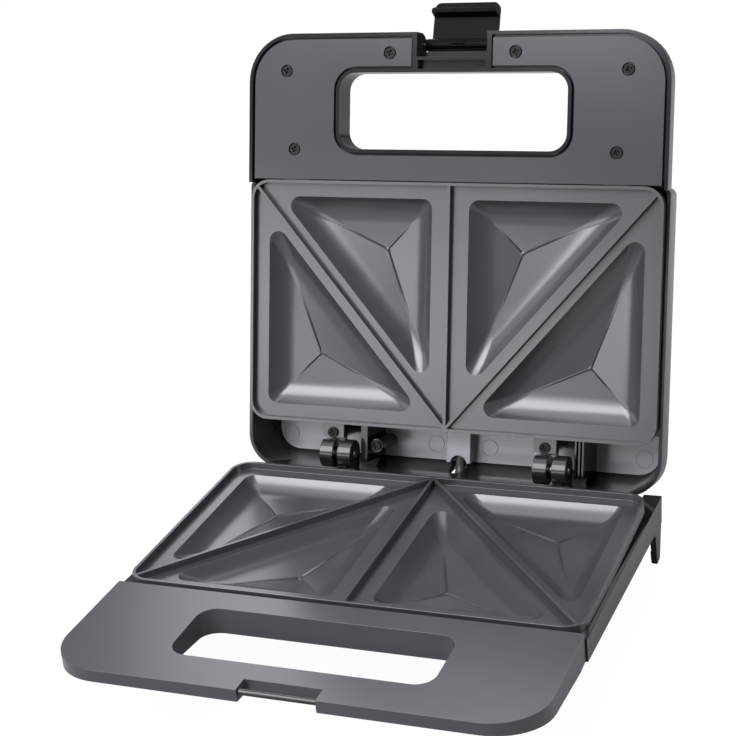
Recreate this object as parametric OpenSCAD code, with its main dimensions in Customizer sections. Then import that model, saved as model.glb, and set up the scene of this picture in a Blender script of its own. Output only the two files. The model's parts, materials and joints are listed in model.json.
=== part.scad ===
// Sandwich toaster with two hinged halves, each with a grip hole in its front handle.
// Everything is drawn closed: the hinge axis runs along X at y = 0 and the lower plate's rim
// is at z = 0. The lid is then opened about the hinge, and the latch about its own pin.

/* [Plates] */
// Width of each cooking plate
plate_w = 221.6; // [210:0.2:222.4]
// Depth of each cooking plate from front to rear
plate_d = 128.2; // [118:0.2:135]
// Corner radius of the plates
plate_r = 10; // [6:1:16]
// Distance from the hinge axis forward to the plates' rear edge
plate_setback = 15.6; // [15:0.2:20]
// Height of the rim and the dividing ridges above the flat
rim_h = 3.5; // [2.5:0.1:4.5]
// Thickness of the rim and the ridges
rim_t = 1.6; // [1.2:0.1:2.4]
// Thickness of the casting
cast_t = 2.4; // [2:0.1:3]
// Gap between the two rims when the lid is closed
rim_gap = 0.4; // [0.2:0.1:1]

/* [Pockets] */
// Depth of a pocket at its middle, below the flat
pocket_depth = 8.2; // [5:0.2:10]
// Depth of a pocket where its wall meets the three facets
wall_depth = 6.7; // [4:0.1:6.8]
// Width of the curved wall, seen from above
wall_run = 13; // [8:0.5:16]
// Corner radius of a pocket's edge
pocket_r = 5; // [3:0.5:7]
// Flat between the plate's side and a pocket
side_flat = 9.4; // [8:0.2:14]
// Flat between the plate's front or rear edge and a pocket
end_flat = 8.6; // [7:0.2:12]
// Flat between the middle ridge and a pocket
mid_flat = 10; // [8:0.5:14]
// Flat between a diagonal ridge and a pocket
diagonal_flat = 5.6; // [4.6:0.2:8]
// Height of the three ribs where they meet in a pocket's middle
rib_h = 0.9; // [0.4:0.1:1.5]

/* [Housing] */
// Width of the housing's border on each side of the plates
side_border = 2.2; // [2.2:0.1:8]
// Height of the lower rim above the table
base_height = 43.4; // [40:0.2:50]
// Height of the lid above the lower rim
lid_height = 36; // [35:0.5:45]
// Depth of the base below the lower rim, without its feet
base_depth = 34; // [33:0.5:38]
// Height of the base's side wall at the handle
side_wall_front_h = 11; // [9:0.5:12]
// Height of the base's side wall at the rear
side_wall_rear_h = 14; // [10:0.5:16]
// Drop of the base's side wall from the handle to the rear
side_wall_drop = 7.2; // [5:0.2:8]
// Distance of the base's rear wall behind the hinge axis
base_rear = 4; // [3:0.2:4.4]
// Distance of the lid's rear wall behind the hinge axis
lid_rear = 11; // [11:0.2:14]
// Radius of the lid's rear corners
lid_rear_r = 18; // [10:1:24]
// Wall thickness of the mouldings
wall = 1.8; // [1.4:0.1:2]
// Thickness of the base's floor and deck
floor_t = 2.5; // [2:0.1:3]

/* [Handles] */
// Step from the housing's side in to the handles' side
handle_step = 0.7; // [0:0.1:3]
// Radius of the handles' front corners
handle_r = 25; // [15:1:32]
// Thickness of the lid's handle
lid_handle_t = 15.5; // [14:0.5:18]
// Thickness of the base's handle near the housing
base_handle_rear_t = 13.4; // [12:0.2:16]
// Thickness of the base's handle at its front edge
base_handle_front_t = 6; // [6:0.5:9]
// Width of the grip holes
grip_w = 122; // [100:1:130]
// Width of the bar between the housing and the grip holes
grip_rear_bar = 13.8; // [12:0.2:20]
// Length of the grip holes from rear to front
grip_d = 39.2; // [30:0.2:46]
// Width of the bar in front of the grip holes
grip_front_bar = 20.3; // [20:0.1:28]
// Corner radius of the grip holes
grip_r = 9; // [5:0.5:14]
// Width of the dark groove around the lid's panel
groove = 1.3; // [0.6:0.1:2]
// Thickness of the lid's panel
panel_t = 2; // [1.8:0.1:2.4]

/* [Hinge] */
// Opening angle of the lid
open_angle = 106.9; // [95:0.1:107.5]
// Height of the hinge axis above the lower rim
hinge_z = 1.06; // [0.5:0.02:1.5]
// Distance between the middles of the two hinges
hinge_spacing = 116.4; // [100:0.2:130]
// Distance from a hinge's middle to the middle of each knuckle
knuckle_offset = 5; // [4.6:0.1:6]
// Width of a knuckle
knuckle_w = 7.3; // [6:0.1:8]
// Radius of a knuckle
knuckle_r = 7.6; // [6:0.1:8]
// Diameter of the hinge pins
hinge_pin_d = 4; // [3:0.1:5]

/* [Latch] */
// Angle by which the unlatched latch stands open
latch_open = 101.6; // [80:0.1:104]
// Width of the latch
latch_w = 35; // [24:0.5:35]
// Distance of the latch's pin behind the front of the handles
latch_pin_back = 5.8; // [5.6:0.1:6.4]
// Diameter of the latch's pin
latch_pin_d = 2.4; // [2:0.1:3]
// Thickness of the latch
latch_t = 2.6; // [2:0.1:3]
// Thickness of the latch's hook where it leaves the latch
hook_t = 4.3; // [3:0.1:5]
// Length of the finger tab below the hook
latch_tab = 2.4; // [1.4:0.2:8]
// Radius of the bar that the latch hooks under
bar_r = 1.4; // [1:0.1:1.6]
// Depth of the bar's middle below the lower rim
bar_depth = 2.5; // [2:0.1:3]
// Width of the notch in the lid's handle
notch_w = 37.4; // [37:0.2:42]
// Width of the notch in the base's handle
base_notch_w = 35.8; // [35.8:0.2:42]

/* [Screws] */
// Diameter of the screws
screw_d = 3; // [2.5:0.1:3.4]
// Diameter of the screw heads
screw_head_d = 5.6; // [5:0.1:6]
// Height of the screw heads
screw_head_h = 1.3; // [1:0.1:1.6]
// Clearance around a screw or a fixed pin
fixed_play = 0.03; // [0.02:0.01:0.05]
// Clearance of a pin that turns in its bore
running_play = 0.05; // [0.03:0.01:0.08]

/* [Heating] */
// Diameter of the tubular elements
element_d = 6.6; // [6:0.1:8]
// Half width of an element's loop
element_x = 76; // [60:1:85]
// Bend radius of an element
element_bend = 20; // [14:1:24]
// Thickness of reflectors and clamps
sheet_t = 0.8; // [0.5:0.1:1]
// Play between the inner pieces
inner_play = 0.1; // [0.05:0.05:0.2]

/* [Leads] */
// Diameter of the sleeve that joins the two halves
lead_d = 5.5; // [4:0.5:6]
// Bend radius of the sleeve
lead_bend = 9; // [8:0.5:10]
// Diameter of the mains cord's bore in its gland
cord_bore_d = 7.2; // [6:0.2:8]

/* [Hidden] */
$fn = 48;

// Plates
plate_rear = -plate_setback;
plate_front = plate_rear - plate_d;
plate_x = plate_w / 2;
flange_z = -rim_h - cast_t;
back_z = -rim_h - pocket_depth - cast_t;
seam_gap = 0.3;
stop_gap = 0.25;

// Housing and handles
body_x = plate_x + side_border;
handle_x = body_x - handle_step;
shell_front = plate_front - 2.7;
lid_front = plate_front + 0.8;
deck_front_z = -3.4;
deck_rear_z = deck_front_z - side_wall_drop;
pan_top_z = deck_front_z - side_wall_front_h + 0.4;
grip_rear = shell_front - grip_rear_bar;
grip_front = grip_rear - grip_d;
handle_front = grip_front - grip_front_bar;
joint_gap = 0.1;
handle_top_z = -0.3;
underside = [
    [handle_front, handle_top_z - base_handle_front_t],
    [shell_front - 9.5, handle_top_z - base_handle_rear_t],
    [shell_front, handle_top_z - base_handle_rear_t + 0.4]
];
lid_rim_z = rim_gap + rim_h + 1;
handle_back_z = rim_gap + lid_handle_t;
lid_inner_z = lid_height - 2.4;
panel_z = rim_gap + 0.5;
ledge_z = panel_z + panel_t;
trough_z = hinge_z - lid_rear - 2.2;
trough_x = body_x - 9;
upper_lug_z = rim_gap - flange_z;

// Hinge, latch and screws
lid_knuckles = [for (s = [-1, 1]) s * hinge_spacing / 2 - knuckle_offset];
base_knuckles = [for (s = [-1, 1]) s * hinge_spacing / 2 + knuckle_offset];
hinge_screw_y = -10.6;
bracket_w = 12;
bracket_t = 3;
latch_y = handle_front + latch_pin_back;
latch_z = handle_back_z - 2.7;
latch_hub_r = 3.1;
latch_face = 7;
bar_y = handle_front + 2.2;
bar_reach = norm([bar_y - latch_y, -bar_depth - latch_z]) + bar_r;
hook_r = bar_reach + 0.4;
latch_drop = hook_r + hook_t + latch_tab;
notch_x = notch_w / 2;
base_notch_x = base_notch_w / 2;
lid_notch_y = handle_front + 12.5;
base_notch_y = handle_front + 8.6;
notch_lip_z = latch_z - latch_hub_r - 1.6;
lug_x = grip_w / 2 + 25.3;
lug_y = plate_front - 16.1;
corner_screw = [handle_x - 21.3, handle_front + 19.3];
latch_screw = [notch_x + 14.8, handle_front + 10.4];
panel_screws = [[lug_x, lug_y], corner_screw, latch_screw];
boss_r = 4;
screw_sink = 0.3;

// Heating and leads
element_z = back_z - element_d / 2 - inner_play;
element_front = plate_front + 23;
element_rear = plate_rear - 21;
element_gap = 18;
clamp_w = 8;
clamp_foot = 7;
clamp_inset = 46;
tray_side = 20;
tray_front = element_front - element_d / 2 - 1.2;
tray_rear = plate_rear - 12;
tray_h = 4;
reflector_z = element_z - element_d / 2 - sheet_t - 3 * inner_play;
thermostat_r = 7;
thermostat_h = 6;
thermostat_y = plate_rear - 13.5;
fuse_r = 2.4;
fuse_length = 30;
fuse_y = plate_front + 30;
terminal_air = 1.7;
terminal_floor = -base_depth + floor_t + inner_play;
terminal_box = [36, 14, reflector_z - sheet_t - terminal_air - terminal_floor];
terminal_pitch = 12;
terminal_y = plate_rear - 44;
lamp_x = 9;
lamp_y = plate_front + 14;
lamp_r = 3;
lead_n = lid_inner_z - 1 - lead_d / 2;
lead_z = -19.5;
foot_r = 5;
foot_at = [plate_x - 19, plate_front + 37];
stop_x = 80;
gland_d = 11;
gland_length = 17.6;
gland_at = [-70, -26.5];
earth_screw = [base_knuckles[0] + knuckle_w / 2 + 8.35, -4];
mark_r = 4.7;
marks = [-body_x + 13, -15, 15, hinge_spacing / 2 - 11.2, body_x - 14.5];

// Where the open latch's tip comes to rest sets the object's middle
function turn(p, a) = [p.x * cos(a) + p.y * sin(a), -p.x * sin(a) + p.y * cos(a)];
hinge_yz = [0, hinge_z];
function opened(y, z) = turn([y, z - hinge_z], open_angle) + hinge_yz;
latch_yz = [latch_y, latch_z];
tip_yz = [-latch_face - latch_t / 2, latch_t / 2 - latch_drop];
tip_open = turn(turn(tip_yz, latch_open) + latch_yz - hinge_yz, open_angle) + hinge_yz;
rear_reach = tip_open.x + latch_t / 2;
middle_y = (handle_front + rear_reach) / 2;

// Outlines
function unit(v) = v / norm(v);
function at(p, i) = p[(i + len(p)) % len(p)];

// Points of an arc that rounds the corner b between a and c
function corner(a, b, c, r, n) = let(
    u = unit(a - b), v = unit(c - b), half = acos(u * v) / 2,
    m = b + unit(u + v) * r / sin(half), s = b + u * r / tan(half) - m,
    sweep = sign(cross(b - a, c - b)) * (180 - 2 * half))
    [for (k = [0:n]) m + turn(s, -sweep * k / n)];
function rounded(p, r, n = 8) =
    [for (i = [0:len(p) - 1]) each corner(at(p, i - 1), p[i], at(p, i + 1), is_list(r) ? r[i] : r, n)];

// A convex outline with every side moved inwards by d
function inset(p, d) = [for (i = [0:len(p) - 1]) let(
    u = unit(at(p, i - 1) - p[i]), v = unit(at(p, i + 1) - p[i]), half = acos(u * v) / 2)
    p[i] + unit(u + v) * d / sin(half)];
function oblong(x, y0, y1) = [[-x, y0], [x, y0], [x, y1], [-x, y1]];
function lifted(p, z) = [for (q = p) [q.x, q.y, z]];

plate_box = oblong(plate_x, plate_front, plate_rear);
body_box = oblong(body_x, lid_front, lid_rear);
long_handle_box = oblong(handle_x, handle_front, lid_front + 20);
base_handle_box = oblong(handle_x, handle_front, shell_front - joint_gap);
grip_box = oblong(grip_w / 2, grip_front, grip_rear);
body_r = [3, 3, lid_rear_r, lid_rear_r];
handle_rr = [handle_r, handle_r, 1, 1];

function body_outline(d) = rounded(inset(body_box, d), [for (r = body_r) max(r - d, 0.5)], 10);
function handle_outline(d, box = long_handle_box) =
    rounded(inset(box, d), [for (r = handle_rr) max(r - d, 0.5)], 12);
function grip_outline(d) = rounded(inset(grip_box, -d), grip_r + d, 8);

// The diagonal ridge runs from the middle of the rear rim to the middle of the corner's arc
ridge_start = [0, plate_rear - rim_t * 0.7];
ridge_corner = plate_r - (plate_r - rim_t) * cos(45);
ridge_end = [plate_x - ridge_corner, plate_front + ridge_corner];
ridge_way = unit(ridge_end - ridge_start);
ridge_side = [ridge_way.y, -ridge_way.x];

// Points on the line beside the diagonal ridge, d towards the front pocket
function ridge_x(y, d) = (d - (y - ridge_start.y) * ridge_side.y) / ridge_side.x;
function ridge_y(x, d) = ridge_start.y + (d - x * ridge_side.x) / ridge_side.y;

pocket_front = plate_front + end_flat;
pocket_rear = plate_rear - end_flat;
pocket_side = plate_x - side_flat;
front_pocket = [
    [mid_flat, pocket_front],
    [ridge_x(pocket_front, diagonal_flat), pocket_front],
    [mid_flat, ridge_y(mid_flat, diagonal_flat)]
];
rear_pocket = [
    [pocket_side, pocket_rear],
    [ridge_x(pocket_rear, -diagonal_flat), pocket_rear],
    [pocket_side, ridge_y(pocket_side, -diagonal_flat)]
];
function sides(t) = [for (i = [0:2]) norm(at(t, i + 1) - at(t, i + 2))];
function total(v) = v * [for (x = v) 1];
function incentre(t) = (sides(t) * t) / total(sides(t));
function inradius(t) = abs(cross(t[1] - t[0], t[2] - t[0])) / total(sides(t));

// Solids
module slab(outline, z0, z1) translate([0, 0, z0]) linear_extrude(z1 - z0) polygon(outline);
module mirrored() for (s = [0, 1]) mirror([s, 0, 0]) children();
module side_profile(points, x0, x1)
    translate([x0, 0, 0]) rotate([90, 0, 90]) linear_extrude(x1 - x0) polygon(points);
module bar(x0, x1, y, z, r) translate([x0, y, z]) rotate([0, 90, 0]) cylinder(r = r, h = x1 - x0);
module post(p, z0, z1, r) translate([p.x, p.y, z0]) cylinder(r = r, h = z1 - z0);

// A skin through outlines of equally many points, from the lowest up
module loft(rings) {
    n = len(rings[0]);
    m = len(rings);
    sides = [for (j = [0:m - 2], i = [0:n - 1]) let(k = (i + 1) % n) each [
        [j * n + i, (j + 1) * n + i, (j + 1) * n + k],
        [j * n + i, (j + 1) * n + k, j * n + k]]];
    polyhedron(
        points = [for (r = rings) each r],
        faces = concat([[for (i = [0:n - 1]) i]], sides, [[for (i = [0:n - 1]) m * n - 1 - i]]),
        convexity = 6);
}

// The space of one triangular pocket, with the grooves of its three ribs left out
module pocket(t) {
    n = 6;
    middle = incentre(t);
    deep = inradius(t);
    core = 1.3;
    edge = 0.2;
    way = sign(cross(t[1] - t[0], t[2] - t[0]));
    tri = way > 0 ? t : [t[0], t[2], t[1]];
    function ring(d, z, r, rib) = let(p = rounded(inset(tri, d), r, n))
        [for (i = [0:len(p) - 1]) [p[i].x, p[i].y, z + rib * (1 - abs(2 * (i % (n + 1)) / n - 1))]];
    fall = (pocket_depth - wall_depth) / (deep - wall_run);
    function facet_z(d) = -wall_depth - fall * (d - wall_run);
    // The wall's curve runs into the facet without a crease
    function wall_z(s) = -fall * wall_run * s - (wall_depth - fall * wall_run) * (1 - pow(1 - s, 2.8));
    near = deep - core;
    half_way = (wall_run + near) / 2;
    wall_steps = [1, 0.76, 0.56, 0.38, 0.22, 0.1];
    rings = concat(
        [ring(near, facet_z(near), 0.6, rib_h)],
        [ring(half_way, facet_z(half_way), 0.7, rib_h * 0.6)],
        [for (s = wall_steps) ring(
            wall_run * s, wall_z(s), pocket_r * (1 - s) + 0.8 * s, 0)],
        [ring(-edge, edge, pocket_r + edge, 0)],
        [ring(-edge, rim_h, pocket_r + edge, 0)]);
    count = len(rings[0]);
    body = [for (j = [0:len(rings) - 2], i = [0:count - 1]) let(k = (i + 1) % count) each [
        [j * count + i, (j + 1) * count + i, (j + 1) * count + k],
        [j * count + i, (j + 1) * count + k, j * count + k]]];
    centre = count * len(rings);
    polyhedron(
        points = concat([for (r = rings) each r], [[middle.x, middle.y, rib_h - pocket_depth]]),
        faces = concat(
            [for (i = [0:count - 1]) [centre, i, (i + 1) % count]], body,
            [[for (i = [0:count - 1]) centre - 1 - i]]),
        convexity = 6);
}

// One casting serves both halves: rim up for the base, turned over for the lid
module plate() {
    difference() {
        union() {
            difference() {
                slab(rounded(plate_box, plate_r), flange_z, 0);
                // The sunk flats between the outer rim and the ridges
                difference() {
                    slab(rounded(inset(plate_box, rim_t), plate_r - rim_t), -rim_h, 1);
                    translate([-rim_t / 2, plate_front, -rim_h - 1]) cube([rim_t, plate_d, rim_h + 3]);
                    mirrored() translate([ridge_start.x, ridge_start.y, -rim_h - 1])
                        rotate(atan2(ridge_way.y, ridge_way.x)) translate([-1, -rim_t / 2, 0])
                        cube([norm(ridge_end - ridge_start) + 2, rim_t, rim_h + 3]);
                }
            }
            mirrored() for (t = [front_pocket, rear_pocket])
                slab(rounded(inset(t, -cast_t), pocket_r + cast_t), back_z, -rim_h - 0.5);
            for (s = [-1, 1]) translate([s * lug_x - 7, lug_y - 6, flange_z])
                cube([14, plate_front - lug_y + 8, cast_t]);
            for (x = base_knuckles) translate([x - bracket_w / 2, plate_rear - 2, flange_z])
                cube([bracket_w, hinge_screw_y - plate_rear + 4.8, cast_t]);
        }
        mirrored() for (t = [front_pocket, rear_pocket]) translate([0, 0, -rim_h]) pocket(t);
        for (s = [-1, 1]) post([s * lug_x, lug_y], flange_z - 1, 1, screw_d / 2 + fixed_play);
        for (x = base_knuckles) post([x, hinge_screw_y], flange_z - 1, 1, screw_d / 2 + fixed_play);
    }
}

// Turns a piece of the base's half over for the lid's half
module turned_over() translate([0, 0, rim_gap]) rotate([0, 180, 0]) children();

module in_base() translate([0, -middle_y, base_height]) children();
module in_lid() in_base() translate([0, 0, hinge_z]) rotate([-open_angle, 0, 0])
    translate([0, 0, -hinge_z]) children();
module in_latch() in_lid() translate([0, latch_y, latch_z]) rotate([-latch_open, 0, 0]) children();

// A cross-head screw with its head up and the top of the head at z = 0
module screw(length) {
    difference() {
        union() {
            translate([0, 0, -screw_head_h]) cylinder(d = screw_head_d, h = screw_head_h);
            translate([0, 0, -length]) cylinder(d = screw_d, h = length - screw_head_h + 0.1);
        }
        for (a = [20, 110]) rotate(a) translate([-1.7, -0.4, -1]) cube([3.4, 0.8, 2]);
    }
}

// Height of the base's sloping deck, and of the underside of its handle
function deck_z(y) = deck_front_z
    + (deck_rear_z - deck_front_z) * (y - shell_front) / (base_rear - shell_front);
function under_z(y) = lookup(y, underside);

module rear_leg() {
    leg_r = 3.5;
    leg_t = 3.4;
    toe_r = 1.5;
    foot_y = base_rear - 10;
    foot_z = leg_r - base_height;
    arch_y = foot_y - leg_r - 3.4;
    arch_z = deck_rear_z - side_wall_rear_h + 0.4;
    intersection() {
        side_profile(concat(
            [[base_rear - 0.3, deck_rear_z - 2], [foot_y + leg_r, foot_z]],
            [for (a = [-15:-15:-165]) [foot_y, foot_z] + leg_r * [cos(a), sin(a)]],
            [[foot_y - leg_r, foot_z], [arch_y + 0.9, arch_z - 2], [arch_y, arch_z - 0.3],
            [arch_y - 1.4, arch_z + 0.6], [arch_y - 1.4, deck_rear_z - 2]]),
            body_x - leg_t - 3, body_x);
        // Seen from the front the leg tapers to a round toe, and flares where it meets the wall
        translate([0, base_rear, 0]) rotate([90, 0, 0]) linear_extrude(40) polygon(concat(
            [[body_x + 1, 0], [body_x, arch_z], [body_x - 0.3, toe_r - base_height]],
            [for (a = [-20:-20:-160])
                [body_x - 0.3 - toe_r, toe_r - base_height] + toe_r * [cos(a), sin(a)]],
            [[body_x - 0.3 - 2 * toe_r, toe_r - base_height], [body_x - leg_t, arch_z - 5],
            [body_x - leg_t - 0.8, arch_z - 2.5], [body_x - leg_t - 3, arch_z - 0.8],
            [body_x - leg_t - 3, 0]]));
    }
}

module base_shell() {
    pan_x = body_x - 2.6;
    pan_front = shell_front + 1;
    pan_rear = plate_rear + 1.2;
    cavity_x = plate_x - 3;
    cavity_front = plate_front + 3;
    cavity_rear = plate_rear - 3;
    color("#232327") in_base() {
        difference() {
            union() {
                side_profile([
                    [shell_front, deck_z(shell_front)], [base_rear, deck_z(base_rear)],
                    [base_rear - 1.9, deck_z(base_rear) - side_wall_rear_h],
                    [shell_front, deck_z(shell_front) - side_wall_front_h]], -body_x, body_x);
                // The pan's front slopes back, so that fingers in the grip clear it
                loft([
                    lifted(rounded(oblong(pan_x - 11, pan_front + 32.5, pan_rear - 11), 8), -base_depth),
                    lifted(rounded(oblong(pan_x - 9, pan_front + 29, pan_rear - 9), 8), -base_depth + 2),
                    lifted(rounded(oblong(pan_x, pan_front, pan_rear), 8), pan_top_z)]);
                mirrored() rear_leg();
                // Tongues that reach into the handle under the plate's lugs
                mirrored() translate([lug_x - 8, lug_y - 7, flange_z - 3])
                    cube([16, shell_front - lug_y + 9, 3]);
                mirrored() post(foot_at, -base_depth, -base_depth + 5, foot_r);
                translate([gland_at.x - 9, plate_rear - 9.6, -base_depth]) cube([18, 11.6, 14]);
            }
            loft([
                lifted(rounded(oblong(cavity_x - 9, cavity_front + 28.8, cavity_rear - 9), 6),
                    -base_depth + floor_t),
                lifted(rounded(oblong(cavity_x, cavity_front, cavity_rear), 6), pan_top_z - 0.6),
                lifted(rounded(oblong(cavity_x, cavity_front, cavity_rear), 6), 2)]);
            slab(rounded(inset(plate_box, -seam_gap), plate_r + seam_gap), flange_z, 5);
            // The handle's inner end, and the clearance for the plate's front lugs
            mirrored() translate([lug_x - 7.2, shell_front - 1, flange_z]) cube([14.4, 6, 8]);
            // The hollow behind the pan, open from below
            side_profile([
                [plate_rear + 1.6, -base_depth - 1], [base_rear - 3.2, -base_depth - 1],
                [base_rear - 2.6, trough_z - floor_t], [plate_rear + 1.6, trough_z - floor_t]],
                -body_x + 3, body_x - 3);
            // The trough in which the lid's rear wall swings
            translate([-trough_x, plate_rear + 2, trough_z]) cube([2 * trough_x, 30, 30]);
            mirrored() post([lug_x, lug_y], -20, 1, screw_d / 2 + fixed_play);
            mirrored() post(foot_at, -base_depth - 1, -base_depth + 4.6, 2.5);
            for (x = base_knuckles) post([x, hinge_screw_y], -16, 1, screw_d / 2 + fixed_play);
            // Ways out for the sleeve and the mains cord
            translate([0, plate_rear - 8, lead_z]) rotate([-90, 0, 0])
                cylinder(d = lead_d + 0.4, h = 40);
            translate([-lead_d / 2 - 0.2, base_rear - 8, -base_depth])
                cube([lead_d + 0.4, 20, lead_z + base_depth]);
            translate([gland_at.x, plate_rear - 12, gland_at.y]) rotate([-90, 0, 0])
                cylinder(d = gland_d + 0.1, h = 40);
        }
        // Bosses under the hinge brackets
        for (x = base_knuckles) difference() {
            post([x, hinge_screw_y], trough_z - floor_t - 4, flange_z - bracket_t, 4.6);
            post([x, hinge_screw_y], -30, 1, screw_d / 2 + fixed_play);
        }
        // Pads on which the open lid's rear wall rests
        for (s = [-1, 1]) side_profile([
            opened(lid_rear + stop_gap, lid_rim_z), opened(lid_rear + stop_gap, lid_rim_z + 3.5),
            [base_rear - 0.6, trough_z - 0.5], [opened(lid_rear, lid_rim_z).x, trough_z - 0.5]],
            s * stop_x - 6, s * stop_x + 6);
    }
}

module notch_block(d) translate([-base_notch_x - d, handle_front - 1, -30])
    cube([2 * (base_notch_x + d), base_notch_y + d - handle_front + 1, 40]);

module base_handle() {
    color("#2b2b2f") in_base() difference() {
        intersection() {
            slab(handle_outline(0, base_handle_box), -40, handle_top_z);
            side_profile(concat(underside, [[shell_front, 5], [handle_front, 5]]), -body_x, body_x);
        }
        difference() {
            slab(handle_outline(2.2, base_handle_box), -40, handle_top_z - 2.2);
            slab(grip_outline(2), -41, 1);
            notch_block(2);
            mirrored() post([lug_x, lug_y], flange_z + cast_t + 0.1, 1, boss_r);
            mirrored() post(corner_screw, -4.5, 1, boss_r);
            mirrored() post(latch_screw, -4.5, 1, boss_r);
        }
        slab(grip_outline(0), -41, 5);
        notch_block(0);
        bar(-base_notch_x - 1.5, base_notch_x + 1.5, bar_y, -bar_depth, bar_r + fixed_play);
        mirrored() for (p = panel_screws) post(p, -30, handle_top_z - 1.2, screw_d / 2 + fixed_play);
        // Openings for the shell's tongues
        mirrored() translate([lug_x - 8.3, shell_front - 4, flange_z - 3.3]) cube([16.6, 8, 3.6]);
        mirrored() translate([lug_x - 7.3, shell_front - 4, flange_z - 0.2]) cube([14.6, 8, cast_t + 0.4]);
    }
}

module base_handle_cover() {
    play = 0.15;
    color("#1d1d20") in_base() difference() {
        union() {
            intersection() {
                difference() {
                    slab(handle_outline(2.2 + play, base_handle_box), -40, 0);
                    slab(grip_outline(2 + play), -41, 1);
                    notch_block(2 + play);
                }
                side_profile(concat(underside, [for (k = [2:-1:0]) underside[k] + [0, 1.6]]),
                    -body_x, body_x);
            }
            mirrored() post([lug_x, lug_y], under_z(lug_y) + 0.5, flange_z - 3.1, boss_r);
            mirrored() post(corner_screw, under_z(corner_screw.y) + 0.5, -4.6, boss_r);
            mirrored() post(latch_screw, under_z(latch_screw.y) + 0.5, -4.6, boss_r);
        }
        mirrored() for (p = panel_screws) {
            post(p, -30, 0, screw_d / 2 + fixed_play);
            post(p, -30, under_z(p.y) + screw_head_h + 0.2, screw_head_d / 2 + 0.3);
        }
    }
}

module base_screws() {
    color("silver") in_base() mirrored() for (p = panel_screws)
        translate([p.x, p.y, under_z(p.y) + 0.2]) rotate([180, 0, 0])
        screw(handle_top_z - 1.4 - under_z(p.y) - 0.2);
}

module catch_bar() {
    color("#3a3a3e") in_base()
        bar(-base_notch_x - 1.4, base_notch_x + 1.4, bar_y, -bar_depth, bar_r);
}

// A hinge bracket of the base's half: a foot under the plate's lug and a knuckle on the axis
module bracket(bore_play) {
    foot_top = flange_z;
    difference() {
        union() {
            translate([-bracket_w / 2, plate_rear + 2.2, foot_top - bracket_t])
                cube([bracket_w, -plate_rear - 2.2 - 4, bracket_t]);
            bar(-knuckle_w / 2, knuckle_w / 2, 0, hinge_z, knuckle_r);
            side_profile([[-4.8, hinge_z], [-4.8, trough_z + 0.1], [base_rear - 0.4, trough_z + 0.1],
                [knuckle_r - 1.2, hinge_z - 3]], -knuckle_w / 2, knuckle_w / 2);
        }
        post([0, hinge_screw_y], -20, 0, screw_d / 2 + fixed_play);
        bar(-20, 20, 0, hinge_z, hinge_pin_d / 2 + bore_play);
    }
}

module base_hinge_brackets() {
    color("#17171a") in_base() for (x = base_knuckles) translate([x, 0, 0]) bracket(running_play);
}

// The lid's brackets stand on its posts, so their feet are on the other side of the axis
module lid_bracket() {
    difference() {
        union() {
            translate([-bracket_w / 2, plate_rear + 1, upper_lug_z])
                cube([bracket_w, -plate_rear - 4, bracket_t]);
            translate([-knuckle_w / 2, -5, upper_lug_z])
                cube([knuckle_w, 6, bracket_t]);
            bar(-knuckle_w / 2, knuckle_w / 2, 0, hinge_z, knuckle_r);
        }
        post([0, hinge_screw_y], 0, 20, screw_d / 2 + fixed_play);
        bar(-20, 20, 0, hinge_z, hinge_pin_d / 2 + fixed_play);
        // The knuckle is cut away where the plate's lug reaches over the foot
        translate([-bracket_w, -knuckle_r - 1, hinge_z - knuckle_r - 1])
            cube([2 * bracket_w, 1.2, upper_lug_z - hinge_z + knuckle_r + 1]);
    }
}

module lid_hinge_brackets() {
    color("#17171a") in_lid() for (x = lid_knuckles) translate([x, 0, 0]) lid_bracket();
}

module base_hinge_screws() {
    color("silver") in_base() for (x = base_knuckles)
        translate([x, hinge_screw_y, -rim_h + screw_head_h]) screw(13);
}

module lid_hinge_screws() {
    color("silver") in_lid() for (x = lid_knuckles)
        translate([x, hinge_screw_y, rim_gap + rim_h - screw_head_h]) rotate([180, 0, 0]) screw(16);
}

module hinge_pins() {
    color("silver") in_lid() for (s = [-1, 1]) translate([s * hinge_spacing / 2, 0, 0]) {
        reach = knuckle_offset + knuckle_w / 2 + 0.4;
        bar(-reach, reach, 0, hinge_z, hinge_pin_d / 2);
        bar(-reach - 1, -reach, 0, hinge_z, hinge_pin_d / 2 + 0.9);
    }
}

module lower_plate() color("#4a4a50") in_base() plate();
module upper_plate() color("#4a4a50") in_lid() turned_over() plate();

// A tubular element: a loop with round corners, open at the rear where its ends turn back
module element() {
    gap = element_gap;
    x = element_x - element_bend;
    translate([0, 0, element_z]) {
        bar(-x, x, element_front, 0, element_d / 2);
        mirrored() {
            translate([element_x, element_front + element_bend, 0]) rotate([-90, 0, 0])
                cylinder(d = element_d, h = element_rear - element_front - 2 * element_bend);
            translate([x, element_front + element_bend, 0]) rotate(-90)
                rotate_extrude(angle = 90) translate([element_bend, 0]) circle(d = element_d);
            translate([x, element_rear - element_bend, 0])
                rotate_extrude(angle = 90) translate([element_bend, 0]) circle(d = element_d);
            bar(gap, x, element_rear, 0, element_d / 2);
            bar(gap - 5, gap, element_rear, 0, 1.6);
            translate([gap - 5, element_rear - 3.2, -0.4]) mirror([1, 0, 0]) cube([7, 6.4, 0.8]);
        }
    }
}

module lower_element() color("#8a7f78") in_base() element();
module upper_element() color("#8a7f78") in_lid() turned_over() element();

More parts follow.
